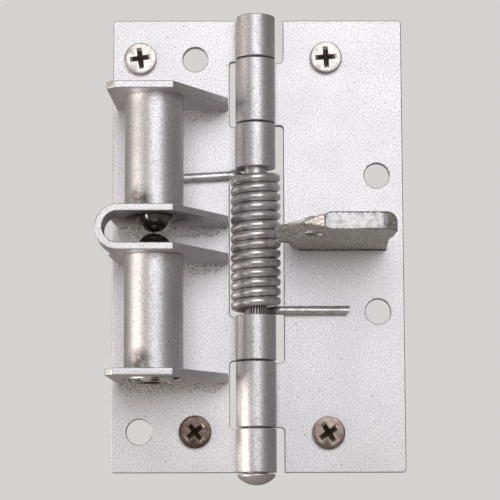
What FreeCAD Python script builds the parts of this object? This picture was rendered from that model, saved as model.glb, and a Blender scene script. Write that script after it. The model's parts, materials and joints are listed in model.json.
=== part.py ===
# Spring loaded door hinge, in millimetres. Two leaves turn on one pin, and a torsion spring round the pin
# shuts the door. On the frame leaf, two tubes hold sprung steel balls that meet in the gap of a folded fork.
# The striker tongue on the door leaf enters that gap as the door opens, wedges the balls apart and is
# gripped by them, which holds the door open.
#
# The pieces are drawn about the pin's axis: +X towards the door leaf, +Y into the wood behind the leaves,
# +Z up, zero at half height. One Placement each then carries them to the part's own frame, whose origin is
# the middle of the frame leaf's screw holes on its back face.

import FreeCAD, Part
import math
import os
import re
import Sketcher
from FreeCAD import Rotation, Vector

SIZES = {
    # leaves, both blanked from one sheet and rolled round the pin
    "leaf_height": 127.0,
    "sheet_thickness": 2.4,
    "frame_leaf_width": 39.9,  # pin's axis to outer edge
    "door_leaf_width": 41.2,
    "frame_notch": 7.2,  # pin's axis to the edge that faces the other leaf's knuckles
    "door_notch": 7.8,
    "leaf_corner": 1.0,
    "notch_corner": 1.0,
    # barrel and pin
    "pin_radius": 3.1,
    "pin_clearance": 0.05,
    "spring_bay": 41.0,
    "inner_knuckle": 12.4,
    "middle_knuckle": 17.9,
    "knuckle_gap": 0.4,
    "roll_gap": 0.3,  # between the rolled end of a knuckle and its own leaf
    "pin_end_chamfer": 0.5,
    "head_radius": 5.2,
    "head_edge": 0.7,
    "head_height": 3.1,
    "head_gap": 0.35,
    # holes for the fixing screws: a side is from the leaf's outer edge and an edge from its end, a column from
    # the pin's axis and a row from half height
    "hole_radius": 3.5,
    "frame_hole_side": 7.7,
    "frame_hole_column": 16.8,
    "frame_hole_edge": 11.2,
    "door_screw_column": 19.9,
    "door_screw_edge": 10.9,
    "door_hole_side": 7.3,
    "door_hole_row": 19.1,
    # fixing screws
    "screw_head_radius": 4.5,
    "screw_head_height": 1.8,
    "screw_shank_radius": 2.2,
    "screw_length": 25.0,
    "recess_arm": 2.5,
    "recess_width": 1.1,
    "recess_depth": 1.3,
    # torsion spring
    "torsion_wire": 2.5,
    "torsion_radius": 5.7,  # axis of the coil to the wire's centre
    "torsion_pitch": 2.64,
    "torsion_turns": 14,
    "torsion_bend": 2.5,
    "torsion_reach": 26.0,  # pin's axis to the tip of a leg
    "leg_clearance": 0.15,
    "leg_drop": 1.1,  # of the upper leg's tip, which was bent down a little
    # ears and fork on the frame leaf
    "mechanism_level": 0.3,  # height of the fork's middle above half height
    "ear_thickness": 2.0,
    "ear_span": 78.3,  # outer face to outer face of the two outer ears
    "ear_reach": 31.2,  # height above the leaf
    "ear_inner": 7.6,  # pin's axis to the edge beside the barrel
    "ear_lean": 1.3,  # the outer edge's slant, taken off the ear's foot
    "ear_toe": 9.0,
    "ear_toe_corner": 2.5,
    "ear_front_inner": 22.0,
    "ear_front_corner": 2.0,
    "fork_gap": 8.3,
    "fork_hole_radius": 7.35,
    "fork_bend_start": 36.6,  # pin's axis to where the bend begins
    "strap_low": 20.0,  # height above the leaf of the bent strap's inner edge
    "bend_relief": 1.2,
    # ball catches
    "catch_offset": 27.5,  # pin's axis to the tubes' axis
    "catch_height": 18.6,  # leaf to the tubes' axis
    "tube_radius": 7.95,
    "tube_fit": 0.05,
    "tube_stand": 1.2,  # past the outer ear
    "tube_rim_chamfer": 0.8,
    "tube_lip": 1.0,
    "tube_mouth": 4.4,  # radius of the opening that the rolled rim leaves
    "ball_radius": 5.0,
    "ball_gap": 0.3,  # between the two balls at rest
    "bore_clearance": 0.35,
    "catch_wire": 1.3,
    "catch_turns": 5,  # open ones, between a closed turn at each end
    "catch_gap": 0.05,
    "plug_thickness": 2.5,
    "plug_fit": 0.05,
    # striker tongue on the door leaf, its outline as pin's axis to corner and height above the leaf
    "tongue_thickness": 4.8,
    "tongue_base_inner": 12.5,
    "tongue_base_outer": 36.4,
    "tongue_heel": 9.2,
    "tongue_heel_height": 13.4,
    "tongue_heel_curve": 20.0,
    "tongue_chin": 6.2,
    "tongue_chin_height": 15.8,
    "tongue_nose": 4.4,
    "tongue_nose_height": 23.8,
    "tongue_brow": 11.8,
    "tongue_brow_height": 37.6,
    "tongue_front_start": 17.5,
    "tongue_reach": 41.4,
    "tongue_front_end": 37.2,
    "tongue_front_corner": 5.0,
    "tongue_end_round": 3.4,  # of the far end's upper edge
    "tongue_waist": 35.6,
    "tongue_waist_height": 18.6,
    "nose_edge": 0.6,  # thickness left at the wedge's edge
    "nose_wedge": 4.5,  # length of the wedge, square to its edge
    "seat_radius": 2.5,
    "seat_depth": 0.6,
}

# expressions that several pieces share
BORE = "(pin_radius + pin_clearance)"  # also the leaves' front face, in Y
BARREL = "(pin_radius + pin_clearance + sheet_thickness)"  # also the leaves' back face, in Y
MIDDLE_LOW = "(spring_bay / 2 + inner_knuckle + knuckle_gap)"
END_LOW = "(spring_bay / 2 + inner_knuckle + middle_knuckle + 2 * knuckle_gap)"
FORK_OUTSIDE = "(fork_gap / 2 + ear_thickness)"
TUBE_END = "(ear_span / 2 + tube_stand)"
CATCH_BORE = "(ball_radius + bore_clearance)"
PLUG_INNER = "(ear_span / 2 + tube_stand - tube_lip - plug_thickness)"
BALL_CENTRE = "(ball_radius + ball_gap / 2)"

FRAME_OUTER_HOLE = "(frame_leaf_width - frame_hole_side)"
FRAME_HOLE_ROW = "(leaf_height / 2 - frame_hole_edge)"
DOOR_OUTER_HOLE = "(door_leaf_width - door_hole_side)"
DOOR_SCREW_ROW = "(leaf_height / 2 - door_screw_edge)"

OPEN_ANGLE = 90  # degrees; the fold at which the balls drop into the tongue's seats
WIRE_STEPS = {"torsion_spring": 14, "catch_spring": 10}  # straight runs to a turn
WIRE_SIDES = {"torsion_spring": 6, "catch_spring": 5}
BALL_STEPS = 18  # plane facets round a ball

doc = FreeCAD.newDocument("spring_door_hinge")
sheet = doc.addObject("Spreadsheet::Sheet", "Sizes")


def fill_sheet():
    for row, (name, value) in enumerate(SIZES.items(), start=1):
        sheet.set(f"A{row}", name)
        sheet.set(f"B{row}", str(value))
        sheet.setAlias(f"B{row}", name)
    doc.recompute()


def bound(text):
    """The expression, with each size in it named as a cell of the sheet."""
    return re.sub(r"[a-z_]+", lambda word: f"Sizes.{word[0]}" if word[0] in SIZES else word[0], text)


def number(text):
    return float(sheet.evalExpression(bound(text)))


def over_leaf(height):
    """The Y of a point this far above the leaves' front face."""
    return f"({BORE} - ({height}))"


# sketches


def new_body(name):
    body = doc.addObject("PartDesign::Body", name)
    body.Label = name
    return body


def new_sketch(body, name, plane, level="0"):
    """A sketch on one of the body's own planes, moved along that plane's normal: Z for XY, -Y for XZ."""
    sketch = body.newObject("Sketcher::SketchObject", name)
    origin_plane = next(feature for feature in body.Origin.OriginFeatures if feature.Role == plane)
    sketch.AttachmentSupport = [(origin_plane, "")]
    sketch.MapMode = "FlatFace"
    sketch.setExpression("AttachmentOffset.Base.z", bound(level))
    return sketch


def bind(sketch, kind, *geometry, text):
    """Adds a dimension whose value is an expression."""
    index = sketch.addConstraint(Sketcher.Constraint(kind, *geometry, number(text)))
    sketch.setExpression(f"Constraints[{index}]", bound(text))


def pin_point(sketch, edge, end, x, y):
    """Fixes a point of the sketch by its distances from the sketch's origin."""
    for kind, axis, text in (("DistanceX", -2, x), ("DistanceY", -1, y)):
        if text == "0":
            sketch.addConstraint(Sketcher.Constraint("PointOnObject", edge, end, axis))
        else:
            bind(sketch, kind, -1, 1, edge, end, text=text)


def arc_between(start, end, radius, turn):
    """The arc from start to end, turn being 1 anticlockwise, -1 clockwise, doubled past a half turn."""
    chord = end - start
    rise = math.sqrt(max(radius**2 - (chord.Length / 2) ** 2, 0))
    across = Vector(-chord.y, chord.x, 0).normalize()
    centre = (start + end) / 2 + across * (rise if turn in (1, -2) else -rise)
    first, last = (start, end) if turn > 0 else (end, start)
    angles = [math.atan2(point.y - centre.y, point.x - centre.x) for point in (first, last)]
    return Part.ArcOfCircle(Part.Circle(centre, Vector(0, 0, 1), radius), *angles)


def outline(sketch, corners):
    """A closed outline. A corner is (x, y), or (x, y, radius, turn) where an arc leads to it."""
    points = [Vector(number(corner[0]), number(corner[1]), 0) for corner in corners]
    edges = []
    for index, corner in enumerate(corners):
        start, end = points[index - 1], points[index]
        if len(corner) == 2:
            edges.append((sketch.addGeometry(Part.LineSegment(start, end), False), 1, 2))
            continue
        radius, turn = corner[2:]
        edge = sketch.addGeometry(arc_between(start, end, number(radius), turn), False)
        edges.append((edge, 1, 2) if turn > 0 else (edge, 2, 1))
        bind(sketch, "Radius", edge, text=radius)
    for index, (edge, first, last) in enumerate(edges):
        before, _, end = edges[index - 1]
        sketch.addConstraint(Sketcher.Constraint("Coincident", before, end, edge, first))
        pin_point(sketch, edge, last, *corners[index][:2])


def circle(sketch, x, y, radius):
    centre = Vector(number(x), number(y), 0)
    edge = sketch.addGeometry(Part.Circle(centre, Vector(0, 0, 1), number(radius)), False)
    pin_point(sketch, edge, 3, x, y)
    bind(sketch, "Radius", edge, text=radius)


# features


def pad(body, name, plane, level, length, corners):
    """A closed outline padded along its plane's normal."""
    sketch = new_sketch(body, f"{name}_outline", plane, level)
    outline(sketch, corners)
    feature = body.newObject("PartDesign::Pad", name)
    feature.Profile = sketch
    feature.setExpression("Length", bound(length))
    return feature


def turned(body, name, corners):
    """A half section in the XZ plane, turned about Z."""
    sketch = new_sketch(body, f"{name}_section", "XZ_Plane")
    outline(sketch, corners)
    feature = body.newObject("PartDesign::Revolution", name)
    feature.Profile = sketch
    feature.ReferenceAxis = (sketch, ["V_Axis"])
    feature.Angle = 360
    return feature


def cut_through(body, name, sketch):
    """A pocket through the whole body, both ways from its sketch."""
    feature = body.newObject("PartDesign::Pocket", name)
    feature.Profile = sketch
    feature.Type = "ThroughAll"
    feature.SideType = "Symmetric"
    return feature


def drill(body, name, plane, holes):
    sketch = new_sketch(body, f"{name}_circles", plane)
    for x, y, radius in holes:
        circle(sketch, x, y, radius)
    return cut_through(body, name, sketch)


def round_corners(body, name, direction, places, radius):
    """Fillets the straight edges that run along direction through the given places."""
    doc.recompute()
    base = body.Tip
    points = [Vector(*(number(text) for text in place)) for place in places]
    found = []
    for index, edge in enumerate(base.Shape.Edges, start=1):
        if not isinstance(edge.Curve, Part.Line) or edge.Curve.Direction.cross(direction).Length > 1e-6:
            continue
        start = edge.Vertexes[0].Point
        if any((point - start).cross(direction).Length < 1e-4 for point in points):
            found.append(f"Edge{index}")
    feature = body.newObject("PartDesign::Fillet", name)
    feature.Base = (base, found)
    feature.setExpression("Radius", bound(radius))
    return feature


def seat(item, x="0", y="0", z="0", turn=None):
    """Carries a piece from the pin's axis to the part's frame, and by x, y and z beyond."""
    if turn:
        item.Placement.Rotation = turn
    item.setExpression("Placement.Base.x", bound(f"({FRAME_OUTER_HOLE} + frame_hole_column) / 2 + ({x})"))
    item.setExpression("Placement.Base.y", bound(f"({y}) - {BARREL}"))
    item.setExpression("Placement.Base.z", bound(z))
    return item


# leaves and pin


def knuckle(body, name, side, low, high, notch):
    """A tab of the leaf rolled round the pin. side is -1 for a leaf on the left and 1 on the right."""
    end_y = f"({BORE} - roll_gap)"
    end_x = f"sqrt({BARREL} * {BARREL} - {end_y} * {end_y})"
    pad(body, name, "XY_Plane", low, f"({high}) - ({low})", [
        (f"{side} * {notch}", BARREL),
        ("0", BARREL),
        (f"{side} * {end_x}", end_y, BARREL, 2 * side),
        (f"{side} * {end_x} * {BORE} / {BARREL}", f"{end_y} * {BORE} / {BARREL}"),
        ("0", BORE, BORE, -2 * side),
        (f"{side} * {notch}", BORE),
    ])


def leaf(name, side, width, notch, knuckles, holes):
    """A flat leaf with its knuckles. knuckles lists (name, low, high), and holes lists (column, row)."""
    body = new_body(name)
    pad(body, "plate", "XZ_Plane", f"-{BARREL}", "sheet_thickness", [
        (f"{side} * {width}", "-leaf_height / 2"),
        (f"{side} * {notch}", "-leaf_height / 2"),
        (f"{side} * {notch}", "leaf_height / 2"),
        (f"{side} * {width}", "leaf_height / 2"),
    ])
    for knuckle_name, low, high in knuckles:
        knuckle(body, knuckle_name, side, low, high, notch)
    drill(body, "screw_holes", "XZ_Plane", [
        (f"{side} * {column}", row, "hole_radius") for column, row in holes
    ])
    outer = [(f"{side} * {width}", BORE, f"{end} * leaf_height / 2") for end in (-1, 1)]
    round_corners(body, "outer_corners", Vector(0, 1, 0), outer, "leaf_corner")
    inside = [
        (f"{side} * {notch}", BORE, level)
        for _, low, high in knuckles for level in (low, high)
        if abs(abs(number(level)) - number("leaf_height / 2")) > 0.01
    ]
    round_corners(body, "notch_corners", Vector(0, 1, 0), inside, "notch_corner")
    return seat(body)


def frame_leaf():
    knuckles = [
        ("knuckle_top", END_LOW, "leaf_height / 2"),
        ("knuckle_above_spring", "spring_bay / 2", "spring_bay / 2 + inner_knuckle"),
        ("knuckle_below_spring", "-(spring_bay / 2 + inner_knuckle)", "-spring_bay / 2"),
        ("knuckle_bottom", "-leaf_height / 2", f"-{END_LOW}"),
    ]
    holes = [
        (column, f"{end} * {FRAME_HOLE_ROW}")
        for column in (FRAME_OUTER_HOLE, "frame_hole_column") for end in (-1, 1)
    ]
    return leaf("frame_leaf", -1, "frame_leaf_width", "frame_notch", knuckles, holes)


def door_leaf():
    knuckles = [
        ("knuckle_upper", MIDDLE_LOW, f"{MIDDLE_LOW} + middle_knuckle"),
        ("knuckle_lower", f"-({MIDDLE_LOW} + middle_knuckle)", f"-{MIDDLE_LOW}"),
    ]
    holes = [("door_screw_column", f"{end} * {DOOR_SCREW_ROW}") for end in (-1, 1)]
    holes += [(DOOR_OUTER_HOLE, f"{end} * door_hole_row") for end in (-1, 1)]
    return leaf("door_leaf", 1, "door_leaf_width", "door_notch", knuckles, holes)


def hinge_pin():
    """The pin, flush at the top, with a domed head below the barrel."""
    body = new_body("hinge_pin")
    under = "-(leaf_height / 2 + head_gap)"
    dome = "(head_height - head_edge)"
    turned(body, "pin", [
        ("0", "leaf_height / 2"),
        ("0", f"{under} - head_height"),
        ("head_radius", f"{under} - head_edge", f"(head_radius * head_radius + {dome} * {dome}) / (2 * {dome})", 1),
        ("head_radius", under),
        ("pin_radius", under),
        ("pin_radius", "leaf_height / 2 - pin_end_chamfer"),
        ("pin_radius - pin_end_chamfer", "leaf_height / 2"),
    ])
    return seat(body)


# wire springs, each a round wire in straight mitred runs


def wire_reach(wire, sides):
    """The distance from a wire's centre to its section's corners, for the area of the round wire."""
    return wire / 2 * math.sqrt(2 * math.pi / (sides * math.sin(2 * math.pi / sides)))


def wire_solid(points, wire, sides):
    """The solid of a wire along its runs, with a regular section."""
    reach = wire_reach(wire, sides)
    ahead = (points[1] - points[0]).normalize()
    across = ahead.cross(Vector(0, 0, 1)).normalize()
    third = ahead.cross(across)
    # with a flat on top, so that close turns stay apart
    angles = [math.pi / 2 + 2 * math.pi * (index + 0.5) / sides for index in range(sides)]
    ring = [points[0] + (across * math.cos(angle) + third * math.sin(angle)) * reach for angle in angles]
    sweep = Part.BRepOffsetAPI.MakePipeShell(Part.makePolygon(points))
    sweep.setTransitionMode(1)
    sweep.add(Part.makePolygon([*ring, ring[0]]))
    sweep.build()
    sweep.makeSolid()
    return sweep.shape()


def coil(radius, start_angle, turns, steps, height_at):
    """Points round a right-handed coil from start_angle in degrees; height_at gives z from the turns made."""
    count = round(turns * steps)
    points = []
    for index in range(count + 1):
        made = turns * index / count
        angle = math.radians(start_angle + 360 * made)
        points.append(Vector(radius * math.cos(angle), radius * math.sin(angle), height_at(made)))
    return points


def torsion_spring():
    """A close coil round the pin. Its legs bend outwards and lie on the front of both leaves."""
    radius, wire = number("torsion_radius"), number("torsion_wire")
    pitch, bend = number("torsion_pitch"), number("torsion_bend")
    leg_y = number(f"{over_leaf('torsion_wire / 2 + leg_clearance')}")
    # the coil ends where a bend of this radius brings the wire to the leg's place over the leaf
    leave = math.asin((leg_y + bend) / (radius + bend))
    turns = number("torsion_turns") + 0.5 - leave / math.pi
    half = pitch * turns / 2
    coiled = coil(radius, math.degrees(leave), turns, WIRE_STEPS["torsion_spring"], lambda made: pitch * made - half)
    bend_steps = 4
    turn = math.pi / 2 - leave
    bent = []
    for index in range(1, bend_steps + 1):
        angle = leave + turn * index / bend_steps
        # the bend's centre lies outside the coil, on the line through the coil's end
        x = (radius + bend) * math.cos(leave) - bend * math.cos(angle)
        y = (radius + bend) * math.sin(leave) - bend * math.sin(angle)
        bent.append((x, y))
    tip = number("torsion_reach")
    lower = [Vector(x, y, -half) for x, y in reversed(bent)]
    upper = [Vector(-x, y, half) for x, y in bent]
    points = [Vector(tip, leg_y, -half), *lower, *coiled, *upper, Vector(-tip, leg_y, half - number("leg_drop"))]
    spring = doc.addObject("Part::Feature", "torsion_spring")
    spring.Label = "torsion_spring"
    spring.Shape = wire_solid(points, wire, WIRE_SIDES["torsion_spring"])
    return seat(spring)


def catch_spring(name, end):
    """A compression spring between a ball and its plug, with closed ends."""
    wire, sides = number("catch_wire"), WIRE_SIDES["catch_spring"]
    reach = wire_reach(wire, sides) + number("catch_gap")
    radius = number(CATCH_BORE) - reach
    # the end turn rests on the ball where the wire's centre is one ball and half a wire from the ball's
    low = number(BALL_CENTRE) + math.sqrt((number("ball_radius") + reach) ** 2 - radius**2)
    high = number(PLUG_INNER) - reach
    turns = number("catch_turns") + 2
    closed = 1.02 * wire

    def height_at(made):
        """One closed turn at each end, and open turns between."""
        open_pitch = (high - low - 2 * closed) / (turns - 2)
        first = min(made, 1) * closed
        last = max(made - (turns - 1), 0) * closed
        between = min(max(made - 1, 0), turns - 2) * open_pitch
        return low + first + between + last

    points = coil(radius, 0, turns, WIRE_STEPS["catch_spring"], height_at)
    spring = doc.addObject("Part::Feature", name)
    spring.Label = name
    spring.Shape = wire_solid(points, wire, sides)
    return seat_catch(spring, end)


# ears and fork


def ear_corners(front_outer):
    """An ear's outline from its outer foot round to its front edge, which ends at front_outer."""
    return [
        ("-(frame_leaf_width - ear_lean)", over_leaf("0")),
        ("-ear_inner", over_leaf("0")),
        ("-ear_inner", over_leaf("ear_toe")),
        ("-ear_front_inner", over_leaf("ear_reach")),
        *front_outer,
    ]


def outer_ear(name, low):
    """A flat ear that carries the outer end of a tube."""
    body = new_body(name)
    front_outer = [
        ("-(frame_leaf_width - ear_front_corner)", over_leaf("ear_reach")),
        ("-frame_leaf_width", over_leaf("ear_reach - ear_front_corner")),
    ]
    pad(body, "ear", "XY_Plane", low, "ear_thickness", ear_corners(front_outer))
    drill(body, "tube_hole", "XY_Plane", [
        ("-catch_offset", over_leaf("catch_height"), "tube_radius + tube_fit")
    ])
    toe = [("-ear_inner", over_leaf("ear_toe"), "0")]
    round_corners(body, "toe_corner", Vector(0, 0, 1), toe, "ear_toe_corner")
    return seat(body)


def fork_bracket():
    """Two ears and the strap bent round between them, all one strip."""
    body = new_body("fork_bracket")
    inside, outside = "fork_gap / 2", FORK_OUTSIDE
    front_outer = [
        ("-fork_bend_start", over_leaf("ear_reach")),
        ("-fork_bend_start", over_leaf("strap_low - bend_relief")),
        ("-frame_leaf_width", over_leaf("strap_low - bend_relief")),
    ]
    bend = "-fork_bend_start"
    level = "mechanism_level"
    pad(body, "strap", "XZ_Plane", f"strap_low - {BORE}", "ear_reach - strap_low", [
        (bend, f"{level} + {outside}"),
        (f"{bend} - {outside}", level, outside, 1),
        (bend, f"{level} - {outside}", outside, 1),
        (bend, f"{level} - {inside}"),
        (f"{bend} - {inside}", level, inside, -1),
        (bend, f"{level} + {inside}", inside, -1),
    ])
    for name, low in (("upper_ear", inside), ("lower_ear", f"-{outside}")):
        pad(body, name, "XY_Plane", f"{level} + {low}", "ear_thickness", ear_corners(front_outer))
    drill(body, "ball_holes", "XY_Plane", [
        ("-catch_offset", over_leaf("catch_height"), "fork_hole_radius")
    ])
    toe = [("-ear_inner", over_leaf("ear_toe"), "0")]
    round_corners(body, "toe_corners", Vector(0, 0, 1), toe, "ear_toe_corner")
    return seat(body)


# ball catches, drawn about the tubes' axis with the fork's middle at zero, and turned over for the lower one


def seat_catch(item, end):
    """Places a piece of the upper catch (end 1) or of the lower one (end -1)."""
    over = None if end > 0 else Rotation(Vector(1, 0, 0), 180)
    return seat(item, "-catch_offset", over_leaf("catch_height"), "mechanism_level", over)


def tube(name, end):
    """A tube from the fork through an outer ear, its rim rolled in over the plug."""
    body = new_body(name)
    turned(body, "tube", [
        (CATCH_BORE, FORK_OUTSIDE),
        ("tube_radius", FORK_OUTSIDE),
        ("tube_radius", f"{TUBE_END} - tube_rim_chamfer"),
        ("tube_radius - tube_rim_chamfer", TUBE_END),
        ("tube_mouth", TUBE_END),
        ("tube_mouth", f"{TUBE_END} - tube_lip"),
        (CATCH_BORE, f"{TUBE_END} - tube_lip"),
    ])
    return seat_catch(body, end)


def plug(name, end):
    body = new_body(name)
    outer = f"{TUBE_END} - tube_lip"
    turned(body, "plug", [
        ("0", PLUG_INNER),
        (f"{CATCH_BORE} - plug_fit", PLUG_INNER),
        (f"{CATCH_BORE} - plug_fit", outer),
        ("0", outer),
    ])
    return seat_catch(body, end)


def ball(name, end):
    """A ball in plane facets, one row of them to a step from pole to pole."""
    radius, step = number("ball_radius"), 2 * math.pi / BALL_STEPS

    def point(row, column):
        turn, fall = Rotation(Vector(0, 0, 1), math.degrees(column * step)), row * step
        return turn * Vector(radius * math.sin(fall), 0, radius * math.cos(fall))

    facets = []
    last = BALL_STEPS // 2 - 1
    for row in range(last + 1):
        for column in range(BALL_STEPS):
            corners = [point(row, column), point(row + 1, column), point(row + 1, column + 1), point(row, column + 1)]
            if row == 0:
                del corners[3]
            if row == last:
                del corners[2]
            facets.append(Part.Face(Part.makePolygon([*corners, corners[0]])))
    item = doc.addObject("Part::Feature", name)
    item.Label = name
    item.Shape = Part.Solid(Part.Shell(facets))
    level = f"mechanism_level + {end} * {BALL_CENTRE}"
    return seat(item, "-catch_offset", over_leaf("catch_height"), level)


# striker tongue


def striker_tongue():
    """A thick blade on the door leaf. Its nose is ground to a wedge, and a seat in each face takes a ball."""
    body = new_body("striker_tongue")
    pad(body, "blade", "XY_Plane", "mechanism_level - tongue_thickness / 2", "tongue_thickness", [
        ("tongue_base_outer", over_leaf("0")),
        ("tongue_base_inner", over_leaf("0")),
        ("tongue_heel", over_leaf("tongue_heel_height"), "tongue_heel_curve", 1),
        ("tongue_chin", over_leaf("tongue_chin_height")),
        ("tongue_nose", over_leaf("tongue_nose_height")),
        ("tongue_brow", over_leaf("tongue_brow_height")),
        ("tongue_front_start", over_leaf("tongue_reach")),
        ("tongue_front_end", over_leaf("tongue_reach")),
        ("tongue_waist", over_leaf("tongue_waist_height")),
    ])
    corner = [("tongue_front_end", over_leaf("tongue_reach"), "0")]
    round_corners(body, "front_corner", Vector(0, 0, 1), corner, "tongue_front_corner")
    grind_nose(body)
    round_end(body)
    for name, side in (("upper_seat", 1), ("lower_seat", -1)):
        ball_seat(body, name, side)
    return seat(body)


def grind_nose(body):
    """Cuts both faces of the tongue back to a thin edge from its nose to its brow."""
    run_x = "(tongue_brow - tongue_nose)"
    run_y = "(tongue_brow_height - tongue_nose_height)"
    past = "nose_wedge / 2"  # how far the cut starts in front of the edge
    half = "tongue_thickness / 2"
    slope = f"(({half} - nose_edge / 2) / nose_wedge)"
    for name, side in (("upper_bevel", 1), ("lower_bevel", -1)):
        sketch = new_sketch(body, f"{name}_section", "XZ_Plane")
        # square to the wedge's edge: the sketch's X runs into the tongue, and its Y is Z
        sketch.AttachmentOffset.Rotation = Rotation(Vector(0, 1, 0), 90)
        sketch.setExpression("AttachmentOffset.Rotation.Angle", bound(f"atan({run_x} / {run_y})"))
        sketch.setExpression("AttachmentOffset.Base.x", bound("tongue_nose"))
        sketch.setExpression("AttachmentOffset.Base.z", bound(f"tongue_nose_height - {BORE}"))
        level = "mechanism_level"
        outline(sketch, [
            (f"-{past}", f"{level} + {side} * (nose_edge / 2 - {past} * {slope})"),
            ("nose_wedge", f"{level} + {side} * {half}"),
            ("nose_wedge", f"{level} + {side} * tongue_thickness"),
            (f"-{past}", f"{level} + {side} * tongue_thickness"),
        ])
        cut_through(body, name, sketch)


def round_end(body):
    """Rounds the upper edge of the tongue's far end."""
    radius = "tongue_end_round"
    top = "(mechanism_level + tongue_thickness / 2)"
    clear = f"({top} + {radius})"
    inner, outer = f"tongue_front_end - {radius}", f"tongue_front_end + {radius}"
    sketch = new_sketch(body, "end_section", "XZ_Plane")
    outline(sketch, [
        (inner, top, radius, 1),
        (inner, clear),
        (outer, clear),
        (outer, f"{top} - {radius}"),
        ("tongue_front_end", f"{top} - {radius}"),
    ])
    cut_through(body, "end_round", sketch)


def ball_seat(body, name, side):
    """A shallow round seat that a ball drops into when the door stands open."""
    depth = f"mechanism_level + {side} * tongue_thickness / 2"
    sketch = new_sketch(body, f"{name}_circle", "XY_Plane", depth)
    x, y = "(-catch_offset)", over_leaf("catch_height")
    turn_x = f"{x} * cos({OPEN_ANGLE}) - {y} * sin({OPEN_ANGLE})"
    turn_y = f"{x} * sin({OPEN_ANGLE}) + {y} * cos({OPEN_ANGLE})"
    circle(sketch, turn_x, turn_y, "seat_radius")
    pocket = body.newObject("PartDesign::Pocket", name)
    pocket.Profile = sketch
    pocket.Reversed = side < 0
    pocket.setExpression("Length", bound("seat_depth"))


# fixing screws


def screw(name, column, row, recess_angle):
    """A fixing screw, kept to its head on the leaf, its cross recess and a plain shank."""
    body = new_body(name)
    turned(body, "screw", [
        ("0", "screw_head_height"),
        ("0", "-screw_length"),
        ("screw_shank_radius", "-screw_length"),
        ("screw_shank_radius", "0"),
        ("screw_head_radius", "0"),
        ("screw_head_radius", "screw_head_height"),
    ])
    sketch = new_sketch(body, "recess_outline", "XY_Plane", "screw_head_height")
    arm, half = "recess_arm", "recess_width / 2"
    quarter = [(arm, half), (half, half), (half, arm)]
    corners = []
    for sign_x, sign_y in ((1, 1), (-1, 1), (-1, -1), (1, -1)):
        turned_corners = [(f"{sign_x} * {x}", f"{sign_y} * {y}") for x, y in quarter]
        corners += turned_corners if sign_x * sign_y > 0 else turned_corners[::-1]
    outline(sketch, corners)
    recess = body.newObject("PartDesign::Pocket", "recess")
    recess.Profile = sketch
    recess.setExpression("Length", bound("recess_depth"))
    # the head faces the viewer's side, -Y
    facing = Rotation(Vector(1, 0, 0), 90) * Rotation(Vector(0, 0, 1), recess_angle)
    return seat(body, column, over_leaf("0"), row, facing)


def build():
    fill_sheet()
    return [
        frame_leaf(),
        door_leaf(),
        hinge_pin(),
        torsion_spring(),
        outer_ear("top_ear", "mechanism_level + ear_span / 2 - ear_thickness"),
        outer_ear("bottom_ear", "mechanism_level - ear_span / 2"),
        fork_bracket(),
        *(piece(f"{side}_{piece.__name__}", end)
          for side, end in (("upper", 1), ("lower", -1)) for piece in (tube, ball, catch_spring, plug)),
        striker_tongue(),
        screw("frame_screw_top", f"-{FRAME_OUTER_HOLE}", FRAME_HOLE_ROW, 8),
        screw("frame_screw_bottom", "-frame_hole_column", f"-{FRAME_HOLE_ROW}", 38),
        screw("door_screw_top", "door_screw_column", DOOR_SCREW_ROW, 4),
        screw("door_screw_bottom", "door_screw_column", f"-{DOOR_SCREW_ROW}", 33),
    ]


def check(pieces):
    """Stops the script if any object or piece failed."""
    doc.recompute()
    failed = [item.Name for item in doc.Objects if {"Invalid", "Error"} & set(item.State)]
    for piece in pieces:
        if piece.Shape.isNull() or not piece.Shape.isValid() or len(piece.Shape.Solids) != 1:
            failed.append(piece.Label)
    if failed:
        raise RuntimeError(f"not built: {failed}")


def export(pieces):
    os.makedirs("parts", exist_ok=True)
    for piece in pieces:
        piece.Shape.exportStep(f"parts/{piece.Label}.step")


pieces = build()
check(pieces)
export(pieces)
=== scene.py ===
"""Dresses the spring loaded door hinge on its measured frame.

The leaves, ears, fork, tubes and pin keep the frame's shapes and get worn edges and silver paint, and the
plugs get their oiled steel. The springs, the balls, the screws, the weld seams and the worked surface of
the striker tongue are made here. Lengths are in metres. Z runs up the pin, X from the frame leaf to the
door leaf, and Y from the leaves' fronts to their backs.
"""

import json
import math

import bmesh
import bpy
from bpy.props import FloatProperty, FloatVectorProperty, IntProperty, PointerProperty
from mathutils import Matrix, Vector, noise


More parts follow.
